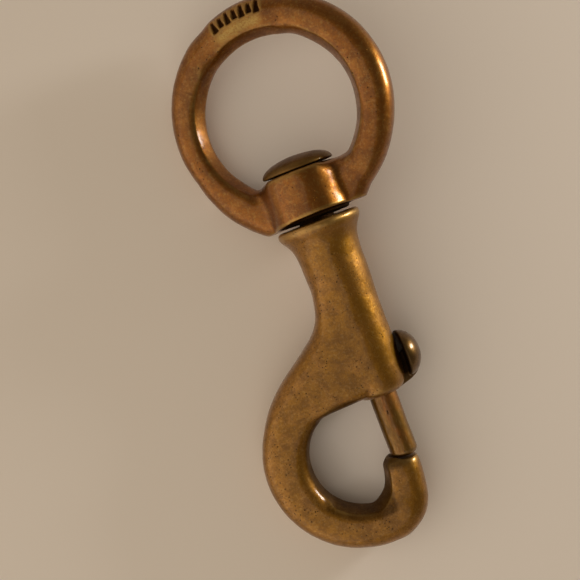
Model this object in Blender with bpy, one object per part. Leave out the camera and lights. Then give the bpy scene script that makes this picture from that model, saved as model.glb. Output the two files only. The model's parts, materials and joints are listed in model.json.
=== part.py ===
"""Swivel-eye bolt snap in cast bronze.

A hook body carries a spring bolt with a thumb knob, and a round eye turns on a domed rivet.

The numbers below are millimetres in the snap's own frame; the meshes are in metres.
In that frame +Y runs along the swivel axis towards the eye, +X points to the thumb knob and
+Z is the front. y = 0 is the top face of the collar, which the eye's boss turns against.
The empty "attitude" lays the whole snap on its back on the plane z = 0, as it lies on a table.
"""
import bpy
import bmesh
import numpy as np

MM = 0.001

# Barrel of the hook body, turned about the bolt's axis
COLLAR_RADIUS = 6.8
NECK_RADIUS = 5.05
BARREL_RADIUS = 4.8
BARREL_END_Y = -29.3

# Hook: the outside and the mouth are two circles, a little off each other
HOOK_OUTER_CENTRE = np.array([-6.8, -36.8])
HOOK_OUTER_RADIUS = 15.4
HOOK_INNER_CENTRE = np.array([-6.4, -37.05])
HOOK_INNER_RADIUS = 8.3
CORE_STEP_AT = 0.66

# Bolt, knob and slot
RUNNING_GAP = 0.33
BOLT_RADIUS = 2.22
BOLT_TIP_Y = -39.75
BOLT_REAR_Y = -17.5
BOLT_TRAVEL = 9.3
BORE_RADIUS = BOLT_RADIUS + RUNNING_GAP
SEAT_Y = BOLT_TIP_Y - 0.35
KNOB_Y = -24.5
KNOB_RADIUS = 3.85
KNOB_FACE_X = 5.1
KNOB_TOP_X = 8.1
STEM_TOP_Y = -23.9
STEM_END_Y = -29.0
STEM_THICKNESS = 1.8
SPIGOT_Y = -26.6
SPIGOT_RADIUS = 0.75
SPIGOT_HOLE_RADIUS = SPIGOT_RADIUS + RUNNING_GAP
SLOT_HALF_WIDTH = STEM_THICKNESS / 2.0 + RUNNING_GAP
SLOT_TOP_Y = STEM_TOP_Y + BOLT_TRAVEL + 0.7
KNOB_DROOP_DEG = 10.0

# Swivel rivet and the counterbore it is pressed into
RIVET_RADIUS = 2.9
RIVET_HEAD_RADIUS = 5.8
RIVET_HEAD_Y = 8.6
RIVET_HEAD_HEIGHT = 2.25
RIVET_END_Y = -4.7
COUNTERBORE_RADIUS = RIVET_RADIUS + RUNNING_GAP
COUNTERBORE_END_Y = RIVET_END_Y - 0.35

# Eye: a round ring grown out of a barrel-shaped boss. The ring's outside and inside are two
# circles a little off each other, so one side is thicker
BOSS_RADIUS = 6.7
BOSS_TOP_Y = 8.25
BOSS_HOLE_RADIUS = 3.4
HUB_RADIUS = 5.6
HUB_BOTTOM_Y = 0.42
RING_OUTER_CENTRE = np.array([0.84, 18.3])
RING_OUTER_RADIUS = 18.1
RING_INNER_CENTRE = np.array([0.41, 17.74])
RING_INNER_RADIUS = 12.37
RING_HALF_THICKNESS = 2.9
RING_EDGE_DEG = 126.0
RING_SQUARENESS = 2.2
RING_STEP_DEG = 6.0
# The arms' outside swells by the second number at the first, degrees from the boss towards +X
SHOULDERS = np.array([(-70.0, 0.0), (-57.0, 0.6), (-46.0, 1.2), (-37.0, 1.6), (-27.0, 2.1),
                      (23.0, 1.3), (30.0, 0.4), (60.0, 0.0)])
# The inside is filled by the second number at the first, where one arm runs into the boss
ARM_FILL = np.array([(18.0, 0.0), (24.0, 1.9), (30.0, 1.45), (35.0, 0.85), (41.0, 0.0)])
# The hand-fettled underside of the boss, as (x, y)
UNDERSIDE = [(-12.0, 0.1), (-7.6, 0.3), (-4.0, 0.62), (0.0, 0.88), (4.0, 0.95), (8.4, 0.85),
             (12.0, 0.8)]

# Compression spring between the bolt and the rivet's end
SPRING_RADIUS = 1.85
SPRING_WIRE_RADIUS = 0.25
SPRING_TURNS = 6
SPRING_SIDES = 6
SPRING_STEPS_PER_TURN = 14
SPRING_END_GAP = 0.3

# How the snap lies: pitched and rolled by its collar and hook, the eye leaning on its rim
PITCH_DEG = 3.1
ROLL_DEG = -3.3
EYE_LEAN_DEG = -13.2
EYE_NOD_DEG = -2.8
LAND_DEPTH = 0.15

# A cast cross-section's rounded face, in steps, and its wall, as shares of the way from the
# middle of the thickness to the crisp edge where the two meet
SECTION_STEPS = 12
WALL_SHARES = np.array([0.5, 0.0, -0.5])
WALL_DRAFT_POWER = 1.3


def material(name, colour, roughness):
    """A plain metal finish."""
    finish = bpy.data.materials.new(name)
    finish.use_nodes = True
    shader = finish.node_tree.nodes["Principled BSDF"]
    shader.inputs["Base Color"].default_value = (*colour, 1.0)
    shader.inputs["Metallic"].default_value = 1.0
    shader.inputs["Roughness"].default_value = roughness
    return finish


def make_object(name, points, faces, parent, finish=None):
    """One mesh object from points in millimetres, with its faces turned outwards."""
    mesh = bpy.data.meshes.new(name)
    mesh.from_pydata((np.asarray(points) * MM).tolist(), [], faces)
    work = bmesh.new()
    work.from_mesh(mesh)
    bmesh.ops.recalc_face_normals(work, faces=work.faces)
    work.to_mesh(mesh)
    work.free()
    mesh.shade_smooth()
    mesh.set_sharp_from_angle(angle=np.radians(35))
    thing = bpy.data.objects.new(name, mesh)
    bpy.context.scene.collection.objects.link(thing)
    thing.parent = parent
    if finish:
        mesh.materials.append(finish)
    return thing


def empty(name, parent=None):
    """A frame that pieces are placed in."""
    frame = bpy.data.objects.new(name, None)
    bpy.context.scene.collection.objects.link(frame)
    frame.parent = parent
    return frame


def loft(name, rings, parent, finish=None, closed=False):
    """A skin over a row of cross-sections, joined end to end or capped flat at both ends."""
    count, sides = len(rings), len(rings[0])
    rows = count if closed else count - 1
    faces = []
    for row in range(rows):
        here, there = row * sides, (row + 1) % count * sides
        for side in range(sides):
            following = (side + 1) % sides
            faces.append((here + side, here + following, there + following, there + side))
    if not closed:
        faces.append(tuple(range(sides)))
        faces.append(tuple(range((count - 1) * sides, count * sides)))
    return make_object(name, np.concatenate(rings), faces, parent, finish)


def circle(radius, sides):
    """Points of a circle as two columns."""
    turn = np.linspace(0.0, 2.0 * np.pi, sides, endpoint=False)
    return radius * np.cos(turn), radius * np.sin(turn)


def turned(name, profile, parent, finish=None, sides=32):
    """A solid turned about the Y axis from (radius, y) pairs."""
    rings = []
    for radius, y in profile:
        x, z = circle(radius, sides)
        rings.append(np.stack([x, np.full(sides, y), z], axis=1))
    return loft(name, rings, parent, finish)


def turned_about_x(name, profile, centre_y, parent, finish=None, sides=28):
    """A solid turned about a line parallel to X from (radius, x) pairs."""
    rings = []
    for radius, x in profile:
        y, z = circle(radius, sides)
        rings.append(np.stack([np.full(sides, x), centre_y + y, z], axis=1))
    return loft(name, rings, parent, finish)


def box(name, low, high, parent):
    """A plain block between two corners."""
    corners = [(x, y, z) for x in (low[0], high[0]) for y in (low[1], high[1])
               for z in (low[2], high[2])]
    faces = [(0, 1, 3, 2), (4, 6, 7, 5), (0, 4, 5, 1), (2, 3, 7, 6), (0, 2, 6, 4), (1, 5, 7, 3)]
    return make_object(name, corners, faces, parent)


def combine(target, other, operation):
    """A live Boolean; the other solid stays as a hidden guide."""
    modifier = target.modifiers.new(other.name, "BOOLEAN")
    modifier.operation = operation
    modifier.object = other
    other.hide_render = True
    other.display_type = "WIRE"


def signed_power(value, power):
    """A value's size to a power, with its sign."""
    return np.sign(value) * np.abs(value) ** power


def cast_section(edge_deg, squareness):
    """A cast cross-section as (across, up) pairs, in half widths and half thicknesses.

    The face lies on |across|^n + |up|^n = 1, with n the squareness, and goes round to the edge
    angle each side of its outer edge; from there a wall with draft runs in to the parting line.
    """
    turn = np.radians(np.linspace(-edge_deg, edge_deg, SECTION_STEPS + 1))
    face = np.column_stack([signed_power(np.cos(turn), 2.0 / squareness),
                            signed_power(np.sin(turn), 2.0 / squareness)])
    draft = (1.0 + face[-1, 0]) * np.abs(WALL_SHARES) ** WALL_DRAFT_POWER
    wall = np.column_stack([-1.0 + draft, face[-1, 1] * WALL_SHARES])
    return np.concatenate([face, wall])


def rib(outer, inner, half_thickness, section):
    """The cross-section that spans from an outer to an inner point of an outline."""
    flat = (outer + inner) / 2.0 + section[:, :1] * (outer - inner) / 2.0
    return np.column_stack([flat, half_thickness * section[:, 1]])


def on_circle(centre, radius, degrees):
    """Points of a circle at some angles."""
    angle = np.radians(degrees)
    return centre + radius * np.stack([np.cos(angle), np.sin(angle)], axis=-1)


def hook_ribs():
    """Cross-sections from inside the barrel, down the web, round the hook and up the nose.

    The way runs from -1 in the barrel through 0 and 1 at the bend's ends to 2 at the nose's
    top. The edge angle drops where the core that shaped the mouth began, at CORE_STEP_AT.
    """
    part = np.linspace(0.0, 1.0, 15)
    outer = np.concatenate([
        [(-4.4, -8.0), (-5.2, -12.0), (-5.7, -14.3), (-7.2, -16.6), (-10.4, -19.2),
         (-14.3, -22.0), (-17.6, -25.2)],
        on_circle(HOOK_OUTER_CENTRE, HOOK_OUTER_RADIUS, 149.0 + 134.0 * part),
        [(-0.3, -49.7), (1.1, -47.3), (1.6, -44.7), (1.85, -41.9), (1.7, -40.3), (0.9, -39.75)]])
    inner = np.concatenate([
        [(4.0, -8.0), (4.0, -13.0), (4.0, -17.0), (3.9, -21.0), (3.4, -25.0), (1.5, -28.6),
         (-4.2, -29.1)],
        on_circle(HOOK_INNER_CENTRE, HOOK_INNER_RADIUS, 113.0 + 149.0 * part),
        [(-6.1, -44.55), (-5.05, -43.55), (-4.5, -42.5), (-4.15, -41.2), (-3.85, -39.9),
         (-3.0, -39.0)]])
    half_thickness = np.concatenate([
        [4.2, 4.4, 4.5, 4.6, 4.6, 4.5, 4.3], 4.0 - 0.25 * part, [3.7, 3.55, 3.4, 3.2, 2.9, 2.2]])
    way = np.concatenate([np.arange(-7, 0) / 7.0, part, 1.0 + np.arange(1, 7) / 6.0])
    edge_deg = np.interp(way, [0.1, CORE_STEP_AT, CORE_STEP_AT + 0.03, 1.3, 2.0],
                         [152.0, 142.0, 125.0, 127.0, 135.0])
    squareness = np.interp(way, [-0.5, 0.1, 0.6], [3.2, 2.8, 2.45])
    return [rib(outer[row], inner[row], half_thickness[row],
                cast_section(edge_deg[row], squareness[row])) for row in range(len(way))]


def hook_body(parent, knob_side, finish):
    """The casting: collar, neck and barrel, with the web, hook and nose joined on.

    The slot faces the knob's side, a few degrees round from the casting's own side.
    """
    barrel = turned("hook_body", [
        (COLLAR_RADIUS - 0.5, 0.0), (COLLAR_RADIUS, -0.45), (6.6, -1.3), (5.85, -2.4), (5.3, -3.7),
        (NECK_RADIUS, -5.5), (NECK_RADIUS, -9.0), (BARREL_RADIUS, -13.0), (BARREL_RADIUS, -24.0),
        (4.55, -27.0), (3.9, -28.7), (3.3, BARREL_END_Y)], parent, finish)
    combine(barrel, loft("hook_sweep", hook_ribs(), parent), "UNION")
    turn = np.linspace(0.0, np.pi, 9)
    slot = [(BARREL_END_Y - 1.0, SLOT_HALF_WIDTH)]
    slot += [(SLOT_TOP_Y + SLOT_HALF_WIDTH * (np.sin(t) - 1.0), SLOT_HALF_WIDTH * np.cos(t))
             for t in turn]
    slot.append((BARREL_END_Y - 1.0, -SLOT_HALF_WIDTH))
    cutters = [
        loft("knob_slot", [np.column_stack([np.full(len(slot), x), slot]) for x in (0.4, 9.0)],
             knob_side),
        turned("bolt_bore_and_tip_seat", [(BORE_RADIUS, 1.0), (BORE_RADIUS, SEAT_Y)], parent),
        turned("rivet_counterbore", [(COUNTERBORE_RADIUS, 1.5),
                                     (COUNTERBORE_RADIUS, COUNTERBORE_END_Y)], parent),
    ]
    for cutter in cutters:
        combine(barrel, cutter, "DIFFERENCE")
    return barrel


def swivel_eye(parent, finish):
    """The ring and its boss, with a turned bearing hub standing a little below the underside."""
    section = cast_section(RING_EDGE_DEG, RING_SQUARENESS)
    rings = []
    for degrees in np.arange(-180.0, 180.0, RING_STEP_DEG):
        outward = np.array([np.sin(np.radians(degrees)), -np.cos(np.radians(degrees))])
        swell = np.interp(degrees, *SHOULDERS.T)
        fill = np.interp(degrees, *ARM_FILL.T)
        rings.append(rib(RING_OUTER_CENTRE + (RING_OUTER_RADIUS + swell) * outward,
                         RING_INNER_CENTRE + (RING_INNER_RADIUS - fill) * outward,
                         RING_HALF_THICKNESS, section))
    eye = loft("swivel_eye", rings, parent, finish, closed=True)
    combine(eye, turned("boss_barrel", [
        (BOSS_RADIUS - 0.4, -0.4), (BOSS_RADIUS, 0.4), (BOSS_RADIUS, BOSS_TOP_Y - 0.9),
        (BOSS_RADIUS - 0.25, BOSS_TOP_Y - 0.2), (BOSS_RADIUS - 0.8, BOSS_TOP_Y)],
        parent, sides=36), "UNION")
    outline = [(-12.0, -6.0)] + UNDERSIDE + [(12.0, -6.0)]
    combine(eye, loft("boss_underside", [np.column_stack([outline, np.full(len(outline), z)])
                                         for z in (-9.0, 9.0)], parent), "DIFFERENCE")
    combine(eye, turned("bearing_hub", [
        (HUB_RADIUS - 0.1, HUB_BOTTOM_Y), (HUB_RADIUS, HUB_BOTTOM_Y + 0.1), (HUB_RADIUS, 2.0)],
        parent), "UNION")
    combine(eye, turned("boss_hole", [(BOSS_HOLE_RADIUS, -2.0), (BOSS_HOLE_RADIUS, 12.0)], parent),
            "DIFFERENCE")
    return eye


def swivel_rivet(parent, finish):
    """A domed head over the boss; the shank runs through the eye and closes the bore."""
    top = RIVET_HEAD_Y + RIVET_HEAD_HEIGHT
    dome = [(RIVET_HEAD_RADIUS * np.cos(turn), top - RIVET_HEAD_HEIGHT * 0.78 * (1.0 - np.sin(turn)))
            for turn in np.radians(np.linspace(0.0, 84.0, 7))]
    profile = [(RIVET_RADIUS - 0.3, RIVET_END_Y), (RIVET_RADIUS, RIVET_END_Y + 0.3),
               (RIVET_RADIUS, RIVET_HEAD_Y), (RIVET_HEAD_RADIUS - 0.4, RIVET_HEAD_Y)] + dome
    return turned("swivel_rivet", profile, parent, finish, sides=36)


def bolt(parent, finish):
    """The sliding bolt, with a rounded tip, a spring pilot and a cross hole for the knob."""
    corner = 0.9
    tip = [(BOLT_RADIUS - corner * (1.0 - np.sin(turn)), BOLT_TIP_Y + corner * (1.0 - np.cos(turn)))
           for turn in np.radians(np.linspace(0.0, 90.0, 5))]
    rear = [(BOLT_RADIUS, BOLT_REAR_Y - 0.3), (BOLT_RADIUS - 0.3, BOLT_REAR_Y), (1.2, BOLT_REAR_Y),
            (1.2, BOLT_REAR_Y + 2.2), (0.8, BOLT_REAR_Y + 2.6)]
    rod = turned("bolt", tip + rear, parent, finish, sides=28)
    hole = turned_about_x("spigot_hole", [(SPIGOT_HOLE_RADIUS, -1.2), (SPIGOT_HOLE_RADIUS, 4.0)],
                          SPIGOT_Y, parent, sides=16)
    combine(rod, hole, "DIFFERENCE")
    return rod


def thumb_knob(parent, finish):
    """A round domed button on a flat stem that reaches through the slot into the bolt."""
    turn = np.radians(np.linspace(8.0, 86.0, 8))
    height = KNOB_TOP_X - KNOB_FACE_X
    dome = [(KNOB_RADIUS * np.cos(t), KNOB_FACE_X + height * np.sin(t)) for t in turn]
    button = turned_about_x("thumb_knob", [(KNOB_RADIUS - 0.5, KNOB_FACE_X)] + dome, KNOB_Y,
                            parent, finish)
    outline = [(2.6, -24.9), (4.2, -24.7), (KNOB_FACE_X + 0.6, STEM_TOP_Y), (6.6, -25.0),
               (6.6, -27.6), (5.4, -28.5), (4.0, STEM_END_Y), (2.6, -29.1)]
    sheet = [np.column_stack([outline, np.full(len(outline), side * STEM_THICKNESS / 2.0)])
             for side in (-1.0, 1.0)]
    combine(button, loft("knob_stem", sheet, parent), "UNION")
    spigot = turned_about_x("knob_spigot", [(SPIGOT_RADIUS, -0.8), (SPIGOT_RADIUS, 4.2)],
                            SPIGOT_Y, parent, sides=16)
    combine(button, spigot, "UNION")
    return button


def bolt_spring(parent, finish):
    """A helix of round wire that pushes the bolt towards the nose."""
    low = BOLT_REAR_Y + SPRING_END_GAP + SPRING_WIRE_RADIUS
    high = RIVET_END_Y - SPRING_END_GAP - SPRING_WIRE_RADIUS
    across, along = circle(SPRING_WIRE_RADIUS, SPRING_SIDES)
    rings = []
    for part in np.linspace(0.0, 1.0, SPRING_TURNS * SPRING_STEPS_PER_TURN + 1):
        turn = 2.0 * np.pi * SPRING_TURNS * part
        radius = SPRING_RADIUS + across
        rings.append(np.stack([radius * np.cos(turn), low + (high - low) * part + along,
                               radius * np.sin(turn)], axis=1))
    return loft("bolt_spring", rings, parent, finish)


def world_points(things):
    """Every point of the finished meshes, in world metres."""
    bpy.context.view_layer.update()
    graph = bpy.context.evaluated_depsgraph_get()
    rows = []
    for thing in things:
        mesh = thing.evaluated_get(graph).to_mesh()
        flat = np.empty(len(mesh.vertices) * 3)
        mesh.vertices.foreach_get("co", flat)
        matrix = np.array(thing.matrix_world)
        rows.append(flat.reshape(-1, 3) @ matrix[:3, :3].T + matrix[:3, 3])
    return np.concatenate(rows)


def lay_down(attitude, body, pieces):
    """Centre the snap over the origin, let it touch z = 0, and give its back small flat lands."""
    everything = world_points(pieces)
    middle = (everything.min(axis=0) + everything.max(axis=0)) / 2.0
    lowest = world_points([body])[:, 2].min()
    attitude.location = (-middle[0], -middle[1], -lowest - LAND_DEPTH * MM)
    floor = box("floor_lands", (-60.0, -60.0, -10.0), (60.0, 60.0, 0.0), None)
    combine(body, floor, "DIFFERENCE")


def build():
    """Make every piece and lay the snap down."""
    for thing in list(bpy.data.objects):
        bpy.data.objects.remove(thing, do_unlink=True)
    body_bronze = material("body_bronze", (0.34, 0.16, 0.03), 0.45)
    eye_bronze = material("eye_bronze", (0.32, 0.15, 0.055), 0.4)
    knob_bronze = material("knob_bronze", (0.20, 0.10, 0.04), 0.3)
    spring_wire = material("spring_wire", (0.45, 0.36, 0.2), 0.35)

    attitude = empty("attitude")
    attitude.rotation_euler = np.radians([PITCH_DEG, ROLL_DEG, 0.0])
    eye_nod = empty("eye_nod", attitude)
    eye_nod.rotation_euler = np.radians([EYE_NOD_DEG, 0.0, 0.0])
    bolt_frame = empty("bolt_frame", attitude)
    bolt_frame.rotation_euler = np.radians([0.0, KNOB_DROOP_DEG, 0.0])
    eye_lean = empty("eye_lean", eye_nod)
    eye_lean.rotation_euler = np.radians([0.0, EYE_LEAN_DEG, 0.0])

    body = hook_body(attitude, bolt_frame, body_bronze)
    pieces = [
        body,
        swivel_eye(eye_lean, eye_bronze),
        swivel_rivet(attitude, eye_bronze),
        bolt(bolt_frame, body_bronze),
        thumb_knob(bolt_frame, knob_bronze),
        bolt_spring(attitude, spring_wire),
    ]
    lay_down(attitude, body, pieces)


build()
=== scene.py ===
# %% [markdown]
# # An old bronze bolt snap
#
# The snap is two castings, a hook body and a round swivel eye, held together by a headed rivet.
# A spring bolt with a thumb knob closes the hook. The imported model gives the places, sizes and
# joints of all of them. This notebook makes the surfaces that are seen, and their old metal.

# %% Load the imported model
import bpy
import json
import numpy as np
from mathutils import Matrix


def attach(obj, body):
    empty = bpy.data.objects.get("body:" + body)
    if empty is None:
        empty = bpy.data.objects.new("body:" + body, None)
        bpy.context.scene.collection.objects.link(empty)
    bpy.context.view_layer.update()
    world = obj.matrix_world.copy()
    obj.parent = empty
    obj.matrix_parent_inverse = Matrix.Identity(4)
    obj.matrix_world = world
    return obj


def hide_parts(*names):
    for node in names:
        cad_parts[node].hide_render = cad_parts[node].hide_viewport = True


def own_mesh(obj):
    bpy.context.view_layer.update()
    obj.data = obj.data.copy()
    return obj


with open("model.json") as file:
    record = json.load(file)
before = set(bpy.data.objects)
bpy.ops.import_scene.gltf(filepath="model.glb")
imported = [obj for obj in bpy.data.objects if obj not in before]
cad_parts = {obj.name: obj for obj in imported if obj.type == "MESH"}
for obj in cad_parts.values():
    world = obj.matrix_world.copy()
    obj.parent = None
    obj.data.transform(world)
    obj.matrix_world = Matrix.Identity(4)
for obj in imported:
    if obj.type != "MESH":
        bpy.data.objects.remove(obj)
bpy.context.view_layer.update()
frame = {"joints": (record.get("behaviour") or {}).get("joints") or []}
joints = {joint["name"]: joint for joint in frame["joints"]}

# %% [markdown]
# ## The snap's own frame
#
# Everything on a snap is laid out along one line, the axis that the eye swivels on and the bolt
# slides along. The shapes below are therefore drawn in the snap's own frame, in millimetres:
# +Y along that axis towards the eye, +X across to the thumb knob, +Z out of the front, and
# y = 0 at the collar's top face. The swivel joint gives the axis and the point. The snap was
# pitched and then rolled as it was laid down, so its own X axis has no part along the row's Y.

# %% From the own frame to the row's frame
MM = 0.001
AXIS = np.array(joints["eye_swivel"]["axis"], float)
COLLAR_TOP = np.array(joints["eye_swivel"]["pos_m"], float)
ACROSS = np.cross([0.0, 1.0, 0.0], AXIS)
ACROSS /= np.linalg.norm(ACROSS)
OWN_AXES = np.stack([ACROSS, AXIS, np.cross(ACROSS, AXIS)])


def to_row(points):
    """Own-frame millimetres to row metres: the collar's top plus each number times its axis."""
    return COLLAR_TOP + MM * points @ OWN_AXES


def turned_by(points, about, degrees):
    """Points turned about the own X or Y axis by the right-hand rule."""
    cosine, sine = np.cos(np.radians(degrees)), np.sin(np.radians(degrees))
    if about == "x":
        matrix = np.array([[1, 0, 0], [0, cosine, -sine], [0, sine, cosine]])
    else:
        matrix = np.array([[cosine, 0, sine], [0, 1, 0], [-sine, 0, cosine]])
    return points @ matrix.T


print("swivel axis", AXIS.round(4), "collar top at", COLLAR_TOP.round(4))

# %% [markdown]
# ## Surfaces as grids
#
# A turned or cast piece is a row of closed cross-sections. `skin` joins them into quads and
# closes each end with a fan to its middle point, so the surface holds water. The faces are
# worked out as whole arrays, and their signed volume tells whether they point outwards.

# %% Skins


def skin(rings, closed=False):
    """Points and faces of a skin over rings[i, j], where j goes round each closed section.

    Quad (i, j) joins (i, j), (i, j+1), (i+1, j+1), (i+1, j); an open end gets a fan of
    triangles to the mean of its ring. All faces are turned round if they enclose less than 0.
    """
    count, sides = rings.shape[:2]
    index = np.arange(count * sides).reshape(count, sides)
    here = index if closed else index[:-1]
    there = np.roll(index, -1, axis=0) if closed else index[1:]
    quads = np.stack([here, np.roll(here, -1, 1), np.roll(there, -1, 1), there], -1).reshape(-1, 4)
    points = rings.reshape(-1, 3)
    faces = quads.tolist()
    if not closed:
        points = np.concatenate([points, rings[0].mean(0)[None], rings[-1].mean(0)[None]])
        first, last = index[0], index[-1]
        start = np.stack([np.full(sides, len(points) - 2), np.roll(first, -1), first], -1)
        finish = np.stack([np.full(sides, len(points) - 1), last, np.roll(last, -1)], -1)
        faces += start.tolist() + finish.tolist()
    corners = points[quads]
    volume = np.einsum("ij,ij->i", corners[:, 0],
                       np.cross(corners[:, 1], corners[:, 2]) +
                       np.cross(corners[:, 2], corners[:, 3])).sum()
    return points, (faces if volume > 0 else [face[::-1] for face in faces])


def turned_rings(profile, sides=96):
    """Circles about the own Y axis from (radius, y) rows: x = r cos t, z = r sin t."""
    turn = np.linspace(0.0, 2.0 * np.pi, sides, endpoint=False)
    radius, y = np.asarray(profile, float).T
    return np.stack([radius[:, None] * np.cos(turn), np.repeat(y[:, None], sides, 1),
                     radius[:, None] * np.sin(turn)], -1)


def smooth_curve(points, count, power=0.5):
    """A Catmull-Rom curve through points of any width, read at count even steps of arc length.

    The knots are spaced by the distance between points to the given power, which keeps the
    curve from looping where points are close together.
    """
    points = np.asarray(points, float)
    ends = np.concatenate([[2 * points[0] - points[1]], points, [2 * points[-1] - points[-2]]])
    gaps = np.linalg.norm(np.diff(ends, axis=0), axis=1) ** power
    knots = np.concatenate([[0.0], np.cumsum(gaps)])
    at = np.linspace(knots[1], knots[-2], 40 * len(points))
    part = np.clip(np.searchsorted(knots, at, side="right") - 1, 1, len(points) - 1)
    t0, t1, t2, t3 = (knots[part + k][:, None] for k in (-1, 0, 1, 2))
    p0, p1, p2, p3 = (ends[part + k] for k in (-1, 0, 1, 2))
    at = at[:, None]
    a1 = ((t1 - at) * p0 + (at - t0) * p1) / (t1 - t0)
    a2 = ((t2 - at) * p1 + (at - t1) * p2) / (t2 - t1)
    a3 = ((t3 - at) * p2 + (at - t2) * p3) / (t3 - t2)
    b1 = ((t2 - at) * a1 + (at - t0) * a2) / (t2 - t0)
    b2 = ((t3 - at) * a2 + (at - t1) * a3) / (t3 - t1)
    curve = ((t2 - at) * b1 + (at - t1) * b2) / (t2 - t1)
    along = np.concatenate([[0.0], np.cumsum(np.linalg.norm(np.diff(curve, axis=0), axis=1))])
    even = np.linspace(0.0, along[-1], count)
    return np.stack([np.interp(even, along, column) for column in curve.T], -1)


# %% [markdown]
# ## From skins to one casting
#
# A casting has no joints in it: where two shapes meet there is a small fillet. The skins are
# first joined and drilled with exact Booleans. A voxel remesh then gives them one even skin,
# and a few rounds of smoothing leave the soft fillets and dulled edges of old cast metal.
# The remesh's cells are 0.19 mm across, and 0.11 mm on the small knob.

# %% Booleans, remesh and smoothing


def make_object(name, points, faces):
    """A mesh object at the origin whose points are row metres."""
    mesh = bpy.data.meshes.new(name)
    mesh.from_pydata(points.tolist(), [], faces)
    thing = bpy.data.objects.new(name, mesh)
    bpy.context.scene.collection.objects.link(thing)
    return thing


def own_object(name, skinned):
    """A mesh object from a skin in own-frame millimetres."""
    points, faces = skinned
    return make_object(name, to_row(points), faces)


def apply_modifiers(thing):
    """Swap the object's mesh for the one its modifiers make."""
    graph = bpy.context.evaluated_depsgraph_get()
    mesh = bpy.data.meshes.new_from_object(thing.evaluated_get(graph))
    thing.modifiers.clear()
    old, thing.data = thing.data, mesh
    bpy.data.meshes.remove(old)
    mesh.name = thing.name


def combine(thing, other, operation):
    """An exact Boolean that uses the other object up."""
    modifier = thing.modifiers.new(operation, "BOOLEAN")
    modifier.operation, modifier.object = operation, other
    apply_modifiers(thing)
    bpy.data.objects.remove(other)


def cast(thing, voxel_mm, rounds):
    """Give the object one even skin, then smooth it."""
    remesh = thing.modifiers.new("cast", "REMESH")
    remesh.mode, remesh.voxel_size, remesh.adaptivity = "VOXEL", voxel_mm * MM, 0.0
    relax = thing.modifiers.new("relax", "SMOOTH")
    relax.factor, relax.iterations = 0.5, rounds
    apply_modifiers(thing)


def mesh_arrays(mesh):
    """The mesh's points, normals and edges as arrays."""
    points = np.empty(len(mesh.vertices) * 3)
    mesh.vertices.foreach_get("co", points)
    normals = np.empty(len(mesh.vertices) * 3)
    mesh.vertices.foreach_get("normal", normals)
    edges = np.empty(len(mesh.edges) * 2, int)
    mesh.edges.foreach_get("vertices", edges)
    return points.reshape(-1, 3), normals.reshape(-1, 3), edges.reshape(-1, 2)


def neighbour_mean(values, edges, rounds=1):
    """Each vertex's value replaced by the mean over itself and its neighbours."""
    ends, others = edges.ravel(), edges[:, ::-1].ravel()
    count = 1.0 + np.bincount(ends, minlength=len(values))
    columns = values.reshape(len(values), -1)
    for _ in range(rounds):
        columns = np.stack([(column + np.bincount(ends, column[others], len(column))) / count
                            for column in columns.T], -1)
    return columns.reshape(values.shape)


def store(mesh, name, values):
    """A number on each vertex that a material can read."""
    attribute = mesh.attributes.new(name, "FLOAT", "POINT")
    attribute.data.foreach_set("value", values.astype(np.float32))


# %% [markdown]
# ## Hand-worked metal
#
# Nothing on an old casting is true. Files and years of rubbing leave slow waves in it, a few
# hundredths of a millimetre high, which make its reflections wander. `waves` adds a handful of
# sine waves in fixed random directions. The same step stores how sharply the surface bends:
# ridges, which rubbing brightens, count up, and corners, which hold dirt, count down.

# %% Waves and bend


def smooth_step(value, low, high):
    """0 below low, 1 above high, and 3 t^2 - 2 t^3 between; low may be the greater."""
    part = np.clip((value - low) / (high - low), 0.0, 1.0)
    return part * part * (3.0 - 2.0 * part)


def own_points(thing):
    """The object's points in the own frame, in millimetres."""
    return (mesh_arrays(thing.data)[0] - COLLAR_TOP) / MM @ OWN_AXES.T


def soften(thing, weight, rounds):
    """Draw points towards their neighbours' mean, each as far as its weight allows."""
    points, _, edges = mesh_arrays(thing.data)
    for _ in range(rounds):
        points += weight[:, None] * (neighbour_mean(points, edges) - points)
    thing.data.vertices.foreach_set("co", points.ravel())
    thing.data.update()


def waves(points_mm, length_mm, seed, count=14, spread=1.6):
    """A smooth field, mostly within -1 and 1, of sines whose wave vectors point at random.

    It is their sum over spread * sqrt(count), so that the count doesn't change its height.
    """
    random = np.random.default_rng(seed)
    vectors = random.normal(size=(count, 3))
    vectors *= 2 * np.pi / (length_mm * np.linalg.norm(vectors, axis=1, keepdims=True))
    vectors *= random.uniform(0.6, 1.5, size=(count, 1))
    phases = random.uniform(0.0, 2 * np.pi, count)
    return np.sin(points_mm @ vectors.T + phases).sum(1) / np.sqrt(count) / spread


def work_over(thing, wave_mm=0.05, wave_length_mm=5.0, seed=1):
    """Push each point along its normal by the waves, then store the bend as 'ridge'."""
    mesh = thing.data
    points, normals, edges = mesh_arrays(mesh)
    height = wave_mm * waves(points / MM, wave_length_mm, seed)
    height += 0.35 * wave_mm * waves(points / MM, 0.4 * wave_length_mm, seed + 50)
    points = points + MM * height[:, None] * normals
    mesh.vertices.foreach_set("co", points.ravel())
    mesh.update()
    mean = neighbour_mean(points, edges, rounds=6)
    bend = np.einsum("ij,ij->i", points - mean, normals) / MM
    store(mesh, "ridge", neighbour_mean(bend, edges, rounds=2))
    mesh.shade_smooth()
    print(thing.name, len(mesh.polygons), "faces, bend", bend.min().round(3), bend.max().round(3))
    return thing


# %% [markdown]
# ## The hook body
#
# The body is a turned barrel, bored for the bolt, with a web that sweeps off to one side,
# round the hook and up the nose. Each cross-section of the sweep spans from a point of the
# outer outline to a point of the mouth. It is round outside, but the mould's core left a
# crisp edge on the inside, and a wall with draft that runs in to the parting line. Round the
# bottom of the hook the core was cut wider, so the wall there starts with a step.

# %% The cross-section and the ribs


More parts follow.
